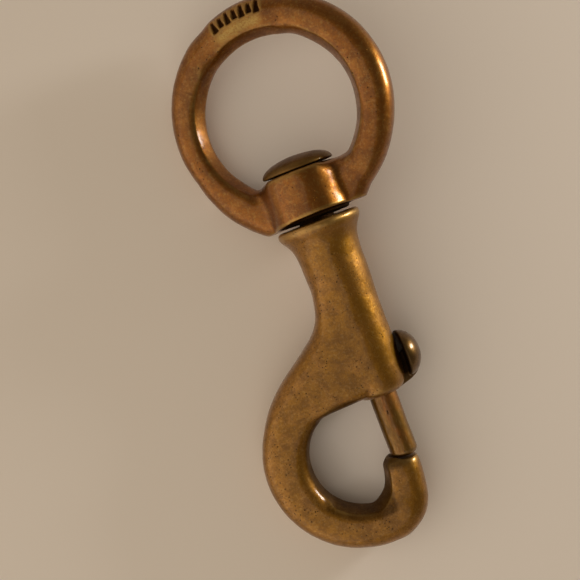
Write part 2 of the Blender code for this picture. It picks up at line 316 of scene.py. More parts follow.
def signed_power(value, power):
    """|value| to a power, with the value's sign."""
    return np.sign(value) * np.abs(value) ** power


def cast_section(edge_deg, squareness, arc_steps=53, wall_steps=21):
    """(across, up) on |across|^n + |up|^n = 1 for |a| < e, then the wall between the edges.

    The arc is (cos a, sin a) to the power 2 / n, where n is the squareness. The wall is
    up = v up(e), across = -1 + (1 + across(e)) |v|^1.3, for v from 1 to -1.
    """
    edge = np.radians(np.atleast_1d(edge_deg))[:, None]
    power = 2.0 / np.atleast_1d(squareness)[:, None]
    arc = edge * np.linspace(-1.0, 1.0, arc_steps)
    part = np.linspace(1.0, -1.0, wall_steps + 2)[1:-1]
    across = -1.0 + (1.0 + signed_power(np.cos(edge), power)) * np.abs(part) ** 1.3
    up = signed_power(np.sin(edge), power) * part
    return np.concatenate([
        np.stack([signed_power(np.cos(arc), power), signed_power(np.sin(arc), power)], -1),
        np.stack([across, up], -1)], 1)


def on_circle(centre, radius, degrees):
    """Points of a circle at some angles."""
    angle = np.radians(degrees)
    return np.array(centre) + radius * np.stack([np.cos(angle), np.sin(angle)], -1)


BEND_STEPS = np.linspace(0.0, 1.0, 15)
HOOK_OUTER_CENTRE, HOOK_OUTER_RADIUS = (-6.8, -36.8), 15.4
HOOK_INNER_CENTRE, HOOK_INNER_RADIUS = (-6.4, -37.05), 8.3
hook_outer = np.concatenate([
    [(-4.4, -8.0), (-5.2, -12.0), (-5.7, -14.3), (-7.2, -16.6), (-10.4, -19.2), (-14.3, -22.0),
     (-17.6, -25.2)],
    on_circle(HOOK_OUTER_CENTRE, HOOK_OUTER_RADIUS, 149.0 + 134.0 * BEND_STEPS),
    [(-0.3, -49.7), (1.1, -47.3), (1.6, -44.7), (1.85, -41.9), (1.7, -40.3), (0.9, -39.75)]])
hook_inner = np.concatenate([
    [(4.0, -8.0), (4.0, -13.0), (4.0, -17.0), (3.9, -21.0), (3.4, -25.0), (1.5, -28.6),
     (-4.2, -29.1)],
    on_circle(HOOK_INNER_CENTRE, HOOK_INNER_RADIUS, 113.0 + 149.0 * BEND_STEPS),
    [(-6.1, -44.55), (-5.05, -43.55), (-4.5, -42.5), (-4.15, -41.2), (-3.85, -39.9),
     (-3.0, -39.0)]])
half_thickness = np.concatenate([
    [4.2, 4.4, 4.5, 4.6, 4.6, 4.5, 4.3], 4.0 - 0.25 * BEND_STEPS,
    [3.7, 3.55, 3.4, 3.2, 2.9, 2.2]])
way_round = np.concatenate([np.arange(-7, 0) / 7.0, BEND_STEPS, 1.0 + np.arange(1, 7) / 6.0])
CORE_STEP_AT, CORE_STEP_LENGTH = 0.66, 0.03


def hook_sweep():
    """Ribs: middle of the two outlines + across * half their gap, and up * the thickness.

    The crisp edge's angle eases from 152 to 142 degrees down the back of the mouth, drops to
    125 over the core's step, and widens to 135 up the nose.
    """
    ribs = smooth_curve(np.column_stack([hook_outer, hook_inner, half_thickness, way_round]), 420)
    outer, inner, thickness = ribs[:, None, :2], ribs[:, None, 2:4], ribs[:, 4:5]
    edge = np.interp(ribs[:, 5], [0.1, CORE_STEP_AT, CORE_STEP_AT + CORE_STEP_LENGTH, 1.3, 2.0],
                     [152.0, 142.0, 125.0, 127.0, 135.0])
    section = cast_section(edge, np.interp(ribs[:, 5], [-0.5, 0.1, 0.6], [3.2, 2.8, 2.45]))
    flat = (outer + inner) / 2 + section[..., :1] * (outer - inner) / 2
    return skin(np.concatenate([flat, (thickness * section[..., 1])[..., None]], -1))


# %% The body: barrel and sweep joined, bored and slotted
BORE_RADIUS, BORE_END_Y = 2.55, -40.1
COUNTERBORE_RADIUS, COUNTERBORE_END_Y = 3.23, -5.05
SLOT_HALF_WIDTH, SLOT_TOP_Y, SLOT_END_Y = 1.25, -13.9, -30.3
DROOP_DEG = 10.0
CAST_VOXEL_MM, CAST_ROUNDS = 0.19, 3
SOFTEN_PULL, SOFTEN_ROUNDS = 0.9, 90


def bar(radius, start_y, end_y):
    """A plain round bar about the own Y axis, for a hole to be cut with."""
    return skin(turned_rings([(radius, start_y), (radius, end_y)], 64))


def slot_cutter():
    """A slab with a half-round top end, y = top - r + r sin t and z = r cos t, along x.

    It is turned a few degrees about the bolt's axis, as the knob hangs.
    """
    turn = np.linspace(0.0, np.pi, 24)
    end = np.stack([SLOT_TOP_Y - SLOT_HALF_WIDTH + SLOT_HALF_WIDTH * np.sin(turn),
                    SLOT_HALF_WIDTH * np.cos(turn)], -1)
    outline = np.concatenate([[(SLOT_END_Y, SLOT_HALF_WIDTH)], end,
                              [(SLOT_END_Y, -SLOT_HALF_WIDTH)]])
    points, faces = skin(np.array([np.column_stack([np.full(len(outline), x), outline])
                                   for x in (0.4, 9.0)]))
    return turned_by(points, "y", DROOP_DEG), faces


barrel_profile = smooth_curve([
    (6.1, 0.0), (6.55, -0.15), (6.8, -0.7), (6.55, -1.5), (5.85, -2.5), (5.3, -3.8), (5.05, -5.8),
    (5.02, -9.0), (4.85, -13.0), (4.8, -18.0), (4.75, -24.0), (4.5, -27.0), (4.0, -28.6),
    (3.2, -29.3)], 150)
hook_body = own_object("hook_body_casting", skin(turned_rings(barrel_profile)))
combine(hook_body, own_object("sweep", hook_sweep()), "UNION")
combine(hook_body, own_object("slot", slot_cutter()), "DIFFERENCE")
combine(hook_body, own_object("bore", bar(BORE_RADIUS, 1.0, BORE_END_Y)), "DIFFERENCE")
combine(hook_body, own_object("counterbore", bar(COUNTERBORE_RADIUS, 1.5, COUNTERBORE_END_Y)),
        "DIFFERENCE")
cast(hook_body, CAST_VOXEL_MM, CAST_ROUNDS)

# %% Where the barrel runs into the web, the two are blended
x, y, _ = own_points(hook_body).T
beside_barrel = smooth_step(y, -7.0, -11.0) * smooth_step(y, -28.0, -24.0) * smooth_step(x, 3.4, 1.5)
soften(hook_body, SOFTEN_PULL * beside_barrel, SOFTEN_ROUNDS)
print("softened", int((beside_barrel > 0.5).sum()), "of", len(x), "points")

# %% Painted shade on the nose's seat and on the mouth's drafted wall
SEAT_PAINTED_SHADE, MOUTH_PAINTED_SHADE = 0.65, 0.6
WALL_END_RADIUS, WALL_END_STEP = 8.95, 1.3
# The seat under the bolt's tip and the drafted wall at the bottom of the mouth are painted darker,
# as shade.
on_nose = SEAT_PAINTED_SHADE * (smooth_step(y, -41.6, -40.2) * (y < -38.4) *
                       smooth_step(x, 1.2, 0.2) * (x > -5.0))
from_mouth = np.hypot(x - HOOK_INNER_CENTRE[0], y - HOOK_INNER_CENTRE[1])
wall_end = WALL_END_RADIUS + WALL_END_STEP * smooth_step(y, -41.0, -43.5)
in_mouth = MOUTH_PAINTED_SHADE * (smooth_step(from_mouth, wall_end + 0.4, wall_end - 0.3) *
                         smooth_step(x, -3.4, -4.4))
store(hook_body.data, "painted_shade_and_dirt", np.maximum(on_nose, in_mouth))
work_over(hook_body, wave_mm=0.03, seed=1)

# %% [markdown]
# ## The swivel eye
#
# The eye is a round ring that grows out of a barrel-shaped boss. The same cast section is
# carried from an inner circle to an outer one, whose middles differ, because the mould's core
# sat off centre. The outside swells a little where the two arms leave the boss, and one arm
# is filled in on its inside. On the worn rivet the eye nods and leans over towards the table.

# %% The eye
EYE_NOD_DEG, EYE_LEAN_DEG = -2.8, -13.2
RING_OUTER_CENTRE, RING_OUTER_RADIUS = (0.84, 18.3), 18.1
RING_INNER_CENTRE, RING_INNER_RADIUS = (0.41, 17.74), 12.37
RING_HALF_THICKNESS, RING_EDGE_DEG = 2.9, 126.0
BOSS_RADIUS, BOSS_TOP_Y, BOSS_HOLE_RADIUS = 6.7, 8.25, 3.4
HUB_RADIUS, HUB_BOTTOM_Y = 5.6, 0.42


def eye_ring(steps=320):
    """Ribs from an inner to an outer circle: middle + across * half the gap, up * thickness."""
    degrees = np.linspace(-180.0, 180.0, steps, endpoint=False)
    swell = np.interp(degrees, [-70.0, -57.0, -46.0, -37.0, -27.0, 23.0, 30.0, 60.0],
                      [0.0, 0.6, 1.2, 1.6, 2.1, 1.3, 0.4, 0.0])[:, None]
    outward = np.stack([np.sin(np.radians(degrees)), -np.cos(np.radians(degrees))], -1)
    fill = np.interp(degrees, [18.0, 24.0, 30.0, 35.0, 41.0], [0.0, 1.9, 1.45, 0.85, 0.0])[:, None]
    outer = RING_OUTER_CENTRE + (RING_OUTER_RADIUS + swell) * outward
    inner = RING_INNER_CENTRE + (RING_INNER_RADIUS - fill) * outward
    section = cast_section(RING_EDGE_DEG, 2.2)
    flat = ((outer + inner)[:, None] + section[..., :1] * (outer - inner)[:, None]) / 2
    up = np.repeat(RING_HALF_THICKNESS * section[..., 1:], steps, 0)
    return skin(np.concatenate([flat, up], -1), closed=True)


def underside_cutter():
    """A block whose top is the boss's uneven underside, lowest on the -X side."""
    floor = smooth_curve([(-12.0, 0.1), (-7.6, 0.3), (-4.0, 0.62), (0.0, 0.88), (4.0, 0.95),
                          (8.4, 0.85), (12.0, 0.8)], 60)
    outline = np.concatenate([floor, [(12.0, -6.0), (-12.0, -6.0)]])
    return skin(np.array([np.column_stack([outline, np.full(len(outline), z)])
                          for z in (-9.0, 9.0)]))


def eye_object(name, skinned):
    """A skin in the eye's own frame, leaned and nodded into place."""
    points, faces = skinned
    points = turned_by(turned_by(points, "y", EYE_LEAN_DEG), "x", EYE_NOD_DEG)
    return own_object(name, (points, faces))


boss_profile = smooth_curve([(6.3, -0.4), (BOSS_RADIUS, 0.4), (BOSS_RADIUS, 4.2),
                             (BOSS_RADIUS, BOSS_TOP_Y - 0.9), (6.45, BOSS_TOP_Y - 0.2),
                             (5.9, BOSS_TOP_Y)], 60)
swivel_eye = eye_object("swivel_eye_casting", eye_ring())
combine(swivel_eye, eye_object("boss", skin(turned_rings(boss_profile, 128))), "UNION")
combine(swivel_eye, eye_object("underside", underside_cutter()), "DIFFERENCE")
hub_profile = [(HUB_RADIUS - 0.1, HUB_BOTTOM_Y), (HUB_RADIUS, HUB_BOTTOM_Y + 0.1), (HUB_RADIUS, 2.0)]
combine(swivel_eye, eye_object("hub", skin(turned_rings(hub_profile, 128))), "UNION")
combine(swivel_eye, eye_object("hole", bar(BOSS_HOLE_RADIUS, -2.0, 12.0)), "DIFFERENCE")
cast(swivel_eye, CAST_VOXEL_MM, CAST_ROUNDS)


def eye_points():
    """The eye's points in its own untilted frame, and their angle and radius round the ring.

    The angle runs from the ring's top towards +X.
    """
    points = turned_by(turned_by(own_points(swivel_eye), "x", -EYE_NOD_DEG), "y", -EYE_LEAN_DEG)
    from_middle = points[:, :2] - RING_OUTER_CENTRE
    return (points, np.degrees(np.arctan2(from_middle[:, 0], from_middle[:, 1])),
            np.hypot(from_middle[:, 0], from_middle[:, 1]))


points, angle, radius = eye_points()
beside_boss = np.exp(-((np.hypot(points[:, 0], points[:, 2]) - 6.9) / 1.3) ** 2)
beside_boss *= smooth_step(np.abs(points[:, 0]), 4.0, 5.5) * smooth_step(points[:, 1], 1.2, 2.4)
soften(swivel_eye, SOFTEN_PULL * beside_boss, SOFTEN_ROUNDS)

# %% [markdown]
# ## Punch marks
#
# A row of marks was struck into the ring's shoulder. Here they are plain wedges of two lengths.
# Each is a small dent whose width changes along its length. The dents hold dirt, and the metal
# beside them has been filed bright.

# %% Marks and the filed patch
MARK_DEPTH_MM, MARK_RADIUS = 0.3, 16.3
MARK_ANGLES = np.linspace(-17.5, 9.5, 7)
MARK_HALF_LENGTHS = (1.0, 0.8, 1.0, 0.8, 1.0, 0.8, 1.0)
FILED_RADIUS, FILED_ANGLE = 14.2, -5.0


def mark_dents(angle, radius):
    """Dent from 0 to 1: the step of (half width - |p|) times the step of (half length - |q|).

    p is the distance along the ring from the mark's middle, and q the distance outwards. The
    half width narrows outwards.
    """
    dents = np.zeros(len(angle))
    for middle, half_length in zip(MARK_ANGLES, MARK_HALF_LENGTHS):
        along = np.radians(angle - middle) * radius
        out = radius - MARK_RADIUS
        half_width = 0.34 - 0.14 * np.clip(out, -1.0, 1.0)
        dents += (smooth_step(half_width - np.abs(along), -0.08, 0.12) *
                  smooth_step(half_length - np.abs(out), -0.08, 0.12))
    return np.clip(dents, 0.0, 1.0)


points, angle, radius = eye_points()
dents = mark_dents(angle, radius) * (points[:, 2] > 0.0)
places, normals, _ = mesh_arrays(swivel_eye.data)
places -= MM * MARK_DEPTH_MM * dents[:, None] * normals
swivel_eye.data.vertices.foreach_set("co", places.ravel())
swivel_eye.data.update()
# The hub in the gap between boss and collar is painted dark, as shade. The dents hold real dirt.
# Both go into one attribute.
in_gap = (smooth_step(points[:, 1], 1.6, 0.9) *
          smooth_step(np.hypot(points[:, 0], points[:, 2]), 6.3, 5.9))
store(swivel_eye.data, "painted_shade_and_dirt", np.maximum(dents, in_gap))
store(swivel_eye.data, "filed", np.exp(-((radius - FILED_RADIUS) / 0.9) ** 2) *
      (points[:, 2] > 0.0) * smooth_step(np.abs(angle - FILED_ANGLE), 19.0, 12.0))
work_over(swivel_eye, wave_mm=0.03, seed=2)

# %% [markdown]
# ## The swivel rivet
#
# The rivet is turned bar with a domed head. Its shank runs through the boss and is pressed
# into the top of the bore, where it also gives the spring something to push against.

# %% The rivet
HEAD_RADIUS, HEAD_Y, HEAD_HEIGHT = 5.8, 8.6, 2.25
SHANK_RADIUS = 2.9
dome = np.radians(np.linspace(0.0, 88.0, 28))
rivet_profile = np.concatenate([
    smooth_curve([(2.4, -4.7), (2.75, -4.65), (SHANK_RADIUS, -4.4), (SHANK_RADIUS, -2.0),
                  (SHANK_RADIUS, 8.0)], 60),
    [(SHANK_RADIUS, HEAD_Y), (HEAD_RADIUS - 0.4, HEAD_Y), (HEAD_RADIUS - 0.15, HEAD_Y + 0.03)],
    np.stack([HEAD_RADIUS * np.cos(dome) ** 0.9,
              HEAD_Y + 0.15 + (HEAD_HEIGHT - 0.15) * np.sin(dome)], -1)])
swivel_rivet = own_object("swivel_rivet_turned", skin(turned_rings(rivet_profile, 128)))
# Painted shade: the rivet's head is darkened a little over half, and its shank below the head, down
# in the gap, fully.
store(swivel_rivet.data, "painted_shade_and_dirt",
      0.55 + 0.45 * smooth_step(own_points(swivel_rivet)[:, 1], 8.75, 8.6))
work_over(swivel_rivet, wave_mm=0.02, wave_length_mm=4.0, seed=3)

# %% [markdown]
# ## The bolt
#
# The bolt is a straight rod with a rounded tip. At its rear a thin pilot keeps the spring
# central. It hangs a few degrees round in its worn slot, because the knob is heavy.

# %% The bolt
BOLT_RADIUS, BOLT_TIP_Y, BOLT_REAR_Y = 2.22, -39.75, -17.5
TIP_ROUNDING, PILOT_RADIUS = 0.9, 1.2
corner = np.radians(np.linspace(4.0, 90.0, 14))
bolt_profile = np.concatenate([
    [(0.05, BOLT_TIP_Y - 0.12), (0.7, BOLT_TIP_Y - 0.08)],
    np.stack([BOLT_RADIUS - TIP_ROUNDING * (1 - np.sin(corner)),
              BOLT_TIP_Y + TIP_ROUNDING * (1 - np.cos(corner))], -1),
    np.stack([np.full(120, BOLT_RADIUS),
              np.linspace(BOLT_TIP_Y + 1.0, BOLT_REAR_Y - 0.35, 120)], -1),
    [(BOLT_RADIUS - 0.1, BOLT_REAR_Y - 0.1), (BOLT_RADIUS - 0.35, BOLT_REAR_Y), (1.3, BOLT_REAR_Y),
     (PILOT_RADIUS, BOLT_REAR_Y + 0.1), (PILOT_RADIUS, BOLT_REAR_Y + 2.2),
     (0.8, BOLT_REAR_Y + 2.6)]])


def bolt_object(name, skinned):
    """A skin in the bolt's own frame, turned to hang in its slot."""
    points, faces = skinned
    return own_object(name, (turned_by(points, "y", DROOP_DEG), faces))


bolt = bolt_object("bolt_rod", skin(turned_rings(bolt_profile, 112)))
work_over(bolt, wave_mm=0.025, wave_length_mm=6.0, seed=4)

# %% [markdown]
# ## The thumb knob
#
# A round button, domed outside and flat underneath, sits on a stem that comes out of the
# slot. The stem is broad along the bolt and thin across it, and runs into the button's lower
# half in one curve.

# %% The knob
KNOB_Y, KNOB_RADIUS, KNOB_FACE_X, KNOB_TOP_X = -24.5, 3.85, 5.1, 8.1
STEM_HALF_THICKNESS = 0.95
KNOB_VOXEL_MM, KNOB_ROUNDS = 0.11, 5


def button():
    """An ellipse turned about the knob's own line, with a rolled edge: y = r cos t, z = r sin t."""
    rise = np.radians(np.linspace(6.0, 89.0, 30))
    profile = np.concatenate([
        [(0.3, KNOB_FACE_X + 0.25), (2.6, KNOB_FACE_X + 0.15), (KNOB_RADIUS - 0.45, KNOB_FACE_X),
         (KNOB_RADIUS - 0.15, KNOB_FACE_X + 0.06)],
        np.stack([KNOB_RADIUS * np.cos(rise), KNOB_FACE_X + (KNOB_TOP_X - KNOB_FACE_X) *
                  np.sin(rise)], -1)])
    rings = turned_rings(profile, 96)
    return skin(np.stack([rings[..., 1], KNOB_Y + rings[..., 0], rings[..., 2]], -1))


def stem():
    """A rounded slab: the outline in x and y, carried across z with its edges drawn in."""
    outline = smooth_curve([(2.1, -25.0), (3.4, -24.9), (4.4, -24.5), (5.5, -23.8), (6.8, -24.6),
                            (7.3, -26.0), (6.7, -27.8), (5.5, -28.6), (4.2, -29.0), (2.1, -29.35),
                            (2.0, -27.2), (2.1, -25.0)], 91)[:-1]
    middle = outline.mean(0)
    across = np.radians(np.linspace(-86.0, 86.0, 15))
    shrink = 1.0 - 0.10 * (1.0 - np.cos(across) ** 0.35)
    rows = [np.column_stack([middle + (outline - middle) * part, np.full(len(outline), z)])
            for part, z in zip(shrink, STEM_HALF_THICKNESS * np.sin(across))]
    return skin(np.array(rows))


thumb_knob = bolt_object("thumb_knob_button", button())
combine(thumb_knob, bolt_object("stem", stem()), "UNION")
cast(thumb_knob, KNOB_VOXEL_MM, KNOB_ROUNDS)
points = turned_by(own_points(thumb_knob), "y", -DROOP_DEG)
# Painted shade under the button: its flat underside and the upper part of the stem are darkened.
store(thumb_knob.data, "painted_shade_and_dirt", smooth_step(points[:, 0], KNOB_FACE_X + 0.5, KNOB_FACE_X + 0.1) *
      smooth_step(points[:, 1], -28.6, -27.2))
work_over(thumb_knob, wave_mm=0.02, wave_length_mm=4.0, seed=5)

# %% [markdown]
# ## The spring
#
# A helix of round wire between the rivet and the bolt. Its end coils are closed up.

# %% The spring
RIVET_END_Y, SPRING_GAP, WIRE_RADIUS, SPRING_RADIUS, TURNS = -4.7, 0.3, 0.25, 1.85, 5.5


def helix(steps=420, sides=10):
    """Wire carried round t turns: (R + r cos a) outward, and y + r sin a, ends closed up."""
    part = np.linspace(0.0, 1.0, steps)
    top, low = RIVET_END_Y - SPRING_GAP - WIRE_RADIUS, BOLT_REAR_Y + SPRING_GAP + WIRE_RADIUS
    even = np.clip((part - 0.12) / 0.76, 0.0, 1.0)
    y = top + (low - top) * (0.94 * even + 0.06 * part)
    turn = 2 * np.pi * TURNS * part
    round_wire = np.linspace(0.0, 2 * np.pi, sides, endpoint=False)
    radius = SPRING_RADIUS + WIRE_RADIUS * np.cos(round_wire)
    return skin(np.stack([radius * np.cos(turn)[:, None],
                          y[:, None] + WIRE_RADIUS * np.sin(round_wire) + 0 * radius,
                          radius * np.sin(turn)[:, None]], -1))


spring = own_object("bolt_spring_helix", helix())
spring.data.shade_smooth()

# %% [markdown]
# ## Old bronze
#
# Bronze that is handled for years goes brown, with greener, redder and yellower patches, and
# is full of small pits. Where hands and straps rub, it is brighter and smoother. Four node
# groups hold those effects, so each piece can have its own share of them: `mottle` for the
# patches, `pits` for casting pores, `grain` for the fine skin and `rubbed` for the ridges.

# %% Node helpers


def node(tree, kind, **values):
    """A shader node with some of its properties set."""
    made = tree.nodes.new(kind)
    for name, value in values.items():
        setattr(made, name, value)
    return made


def link(tree, source, target):
    """Join two sockets."""
    tree.links.new(source, target)


def noise(tree, vector, scale, detail=3.0, roughness=0.55, distortion=0.0):
    """A noise texture's Factor output."""
    made = node(tree, "ShaderNodeTexNoise")
    made.inputs["Scale"].default_value = scale
    made.inputs["Detail"].default_value = detail
    made.inputs["Roughness"].default_value = roughness
    made.inputs["Distortion"].default_value = distortion
    link(tree, vector, made.inputs["Vector"])
    return made.outputs["Factor" if "Factor" in made.outputs else "Fac"]


def remap(tree, value, low, high, to_low=0.0, to_high=1.0):
    """A clamped smooth step from low..high to to_low..to_high."""
    made = node(tree, "ShaderNodeMapRange", interpolation_type="SMOOTHSTEP")
    for name, number in (("From Min", low), ("From Max", high), ("To Min", to_low),
                         ("To Max", to_high)):
        made.inputs[name].default_value = number
    link(tree, value, made.inputs["Value"])
    return made.outputs["Result"]


def maths(tree, operation, first, second):
    """One operation on two sockets or numbers."""
    made = node(tree, "ShaderNodeMath", operation=operation)
    for socket, value in zip(made.inputs, (first, second)):
        if isinstance(value, (int, float)):
            socket.default_value = value
        else:
            link(tree, value, socket)
    return made.outputs[0]


def mix_colour(tree, factor, first, second):
    """A colour mixed by a factor; each may be a socket or a colour."""
    made = node(tree, "ShaderNodeMix", data_type="RGBA")
    for name, value in (("Factor_Float", factor), ("A_Color", first), ("B_Color", second)):
        socket = next(s for s in made.inputs if s.identifier == name)
        if hasattr(value, "is_output"):
            link(tree, value, socket)
        elif isinstance(value, (int, float)):
            socket.default_value = value
        else:
            socket.default_value = (*value, 1.0)
    return next(s for s in made.outputs if s.identifier == "Result_Color")


def new_group(name, inputs, outputs):
    """A node group with float inputs (name, default) and named float outputs."""
    tree = bpy.data.node_groups.new(name, "ShaderNodeTree")
    tree.interface.new_socket("Vector", in_out="INPUT", socket_type="NodeSocketVector")
    for label, value in inputs:
        socket = tree.interface.new_socket(label, in_out="INPUT", socket_type="NodeSocketFloat")
        socket.default_value = value
    for label in outputs:
        tree.interface.new_socket(label, in_out="OUTPUT", socket_type="NodeSocketFloat")
    return tree, node(tree, "NodeGroupInput"), node(tree, "NodeGroupOutput")


def place(tree, group, vector, **values):
    """The group's node in a material, with its own values."""
    made = node(tree, "ShaderNodeGroup", node_tree=group)
    link(tree, vector, made.inputs["Vector"])
    for name, value in values.items():
        made.inputs[name.replace("_", " ")].default_value = value
    return made


# %% Mottle: broad patches and fine specks of another tone
mottle, taken, given = new_group("mottle", [("Patch Size", 4.0)], ["Patches", "Cloud", "Specks"])
per_metre = maths(mottle, "DIVIDE", 1000.0, taken.outputs["Patch Size"])


def scaled(tree, vector, factor):
    """A vector times a number."""
    made = node(tree, "ShaderNodeVectorMath", operation="SCALE")
    link(tree, vector, made.inputs[0])
    link(tree, factor, made.inputs["Scale"])
    return made.outputs[0]


spread = scaled(mottle, taken.outputs["Vector"], per_metre)
link(mottle, remap(mottle, noise(mottle, spread, 1.0, 4.0, 0.6, 0.6), 0.42, 0.62),
     given.inputs["Patches"])
link(mottle, remap(mottle, noise(mottle, spread, 2.7, 5.0, 0.65, 0.2), 0.38, 0.64),
     given.inputs["Cloud"])
link(mottle, remap(mottle, noise(mottle, spread, 11.0, 3.0, 0.6), 0.5, 0.7),
     given.inputs["Specks"])

# %% Pits: small round pores, thick in some places and absent in others
pits, taken, given = new_group("pits", [("Size", 0.5), ("Cover", 0.5)], ["Height", "Mask"])
per_metre = maths(pits, "DIVIDE", 1000.0, taken.outputs["Size"])
spread = scaled(pits, taken.outputs["Vector"], per_metre)
ragged = node(pits, "ShaderNodeVectorMath", operation="ADD")
wobble = noise(pits, spread, 2.2, 2.0, 0.5)
link(pits, spread, ragged.inputs[0])
link(pits, maths(pits, "MULTIPLY", wobble, 0.6), ragged.inputs[1])
cells = node(pits, "ShaderNodeTexVoronoi")
cells.inputs["Scale"].default_value = 1.0
link(pits, ragged.outputs[0], cells.inputs["Vector"])
split = node(pits, "ShaderNodeSeparateColor")
link(pits, cells.outputs["Color"], split.inputs[0])
region = remap(pits, noise(pits, spread, 0.09, 2.0, 0.5), 0.42, 0.62)
chance = maths(pits, "LESS_THAN", split.outputs[0], maths(pits, "MULTIPLY", region,
                                                          taken.outputs["Cover"]))
radius = maths(pits, "MULTIPLY_ADD", split.outputs[1], 0.22)
radius.node.inputs[2].default_value = 0.12
inside = maths(pits, "SUBTRACT", 1.0, maths(pits, "DIVIDE", cells.outputs["Distance"], radius))
inside = maths(pits, "MULTIPLY", maths(pits, "MAXIMUM", inside, 0.0), chance)
link(pits, maths(pits, "MULTIPLY", inside, -1.0), given.inputs["Height"])
link(pits, remap(pits, inside, 0.0, 0.35), given.inputs["Mask"])

# %% Grain: the skin of sand-cast metal under fine scratches
grain, taken, given = new_group("grain", [("Grit Size", 0.25)], ["Height", "Tone"])
per_metre = maths(grain, "DIVIDE", 1000.0, taken.outputs["Grit Size"])
spread = scaled(grain, taken.outputs["Vector"], per_metre)
grit = noise(grain, spread, 1.0, 4.0, 0.7)
dents = noise(grain, spread, 0.22, 3.0, 0.55)
link(grain, maths(grain, "ADD", grit, maths(grain, "MULTIPLY", dents, 2.2)), given.inputs["Height"])
link(grain, remap(grain, grit, 0.3, 0.7), given.inputs["Tone"])

# %% Rubbed: ridges that stand proud, broken up by noise, and the corners that hold dirt
rubbed, taken, given = new_group("rubbed", [("Reach", 0.02)], ["Bright", "Dirt"])
bend = node(rubbed, "ShaderNodeAttribute", attribute_name="ridge")
patchy = noise(rubbed, taken.outputs["Vector"], 900.0, 3.0, 0.6)
shifted = maths(rubbed, "MULTIPLY_ADD", patchy, 0.02)
shifted.node.inputs[2].default_value = -0.01
bent = maths(rubbed, "ADD", bend.outputs["Fac"], shifted)
link(rubbed, remap(rubbed, maths(rubbed, "DIVIDE", bent, taken.outputs["Reach"]), 0.5, 1.6),
     given.inputs["Bright"])
link(rubbed, remap(rubbed, maths(rubbed, "DIVIDE", bent, taken.outputs["Reach"]), -0.7, -2.2),
     given.inputs["Dirt"])
print("node groups:", [tree.name for tree in bpy.data.node_groups])

# %% [markdown]
# ## One recipe for each piece's bronze
#
# The shader is metallic, because even brown bronze reflects like a metal. Its colour runs
# from a deep tone through the body tone to a bright one, and is darkened towards a near-black
# by dirt in pits and corners, and by painted shade where a piece lies in shade. Roughness
# rises in the patches and pits, and falls where the metal is rubbed. A thin clear coat stands
# for the wax and grease of handling, and thins out where there is dirt or painted shade.

# %% The bronze


# One near-black for dirt in pits and corners and for painted shade.
DIRT_AND_SHADE_BLACK = (0.010, 0.005, 0.003)


def bronze(name, deep, body, warm, bright, patch_mm, rough, pit_cover, grit_bump, stretch=1.0):
    """An old bronze finish; stretch draws the pattern out along the row's Y axis."""
    finish = bpy.data.materials.new(name)
    finish.use_nodes = True
    tree = finish.node_tree
    shader = tree.nodes["Principled BSDF"]
    where = node(tree, "ShaderNodeMapping")
    where.inputs["Scale"].default_value = (1.0, stretch, 1.0)
    link(tree, node(tree, "ShaderNodeTexCoord").outputs["Object"], where.inputs["Vector"])
    where = where.outputs[0]
    tones = place(tree, mottle, where, Patch_Size=patch_mm)
    pores = place(tree, pits, where, Size=0.42, Cover=pit_cover)
    fine = place(tree, grain, where, Grit_Size=0.3)
    worn = place(tree, rubbed, where, Reach=0.02)
    painted_shade_and_dirt = node(tree, "ShaderNodeAttribute", attribute_name="painted_shade_and_dirt").outputs["Fac"]
    filed = node(tree, "ShaderNodeAttribute", attribute_name="filed").outputs["Fac"]
    filed = maths(tree, "MULTIPLY", filed, remap(tree, fine.outputs["Tone"], 0.0, 0.8, 0.4, 1.0))
    colour = mix_colour(tree, tones.outputs["Patches"], body, warm)
    for share, amount in ((tones.outputs["Cloud"], 0.5), (fine.outputs["Tone"], 0.45)):
        colour = mix_colour(tree, maths(tree, "MULTIPLY", share, amount), colour, deep)
    colour = mix_colour(tree, maths(tree, "MULTIPLY", tones.outputs["Specks"], 0.2), colour, bright)
    bright_share = maths(tree, "MAXIMUM", maths(tree, "MULTIPLY", worn.outputs["Bright"], 0.35),
                         maths(tree, "MULTIPLY", filed, 0.7))
    colour = mix_colour(tree, bright_share, colour, bright)
    # Dirt in hollow corners and pits, and painted shade from the mesh attribute, darken the colour
    # towards the near-black, roughen it and thin the coat.
    dirt_and_shade = maths(tree, "MAXIMUM", maths(tree, "MULTIPLY", worn.outputs["Dirt"], 0.35),
                 maths(tree, "MULTIPLY", pores.outputs["Mask"], 0.6))
    dirt_and_shade = maths(tree, "MAXIMUM", dirt_and_shade, maths(tree, "MULTIPLY", painted_shade_and_dirt, 0.9))
    link(tree, mix_colour(tree, dirt_and_shade, colour, DIRT_AND_SHADE_BLACK), shader.inputs["Base Color"])
    roughness = maths(tree, "ADD", maths(tree, "MULTIPLY", tones.outputs["Cloud"], 0.10),
                      maths(tree, "MULTIPLY", fine.outputs["Tone"], 0.08))
    roughness = maths(tree, "SUBTRACT", roughness, maths(tree, "MULTIPLY", bright_share, 0.10))
    roughness = maths(tree, "ADD", roughness, maths(tree, "MULTIPLY", dirt_and_shade, 0.3))
    link(tree, maths(tree, "ADD", roughness, rough), shader.inputs["Roughness"])
    shader.inputs["Metallic"].default_value = 1.0
    link(tree, remap(tree, dirt_and_shade, 0.1, 0.8, 0.6, 0.0), shader.inputs["Coat Weight"])
    shader.inputs["Coat Roughness"].default_value = 0.16
    height = maths(tree, "ADD", maths(tree, "MULTIPLY", fine.outputs["Height"], grit_bump),
                   maths(tree, "MULTIPLY", pores.outputs["Height"], 0.1))
    bump = node(tree, "ShaderNodeBump")
    bump.inputs["Distance"].default_value = MM
    link(tree, height, bump.inputs["Height"])
    link(tree, bump.outputs["Normal"], shader.inputs["Normal"])
    return finish


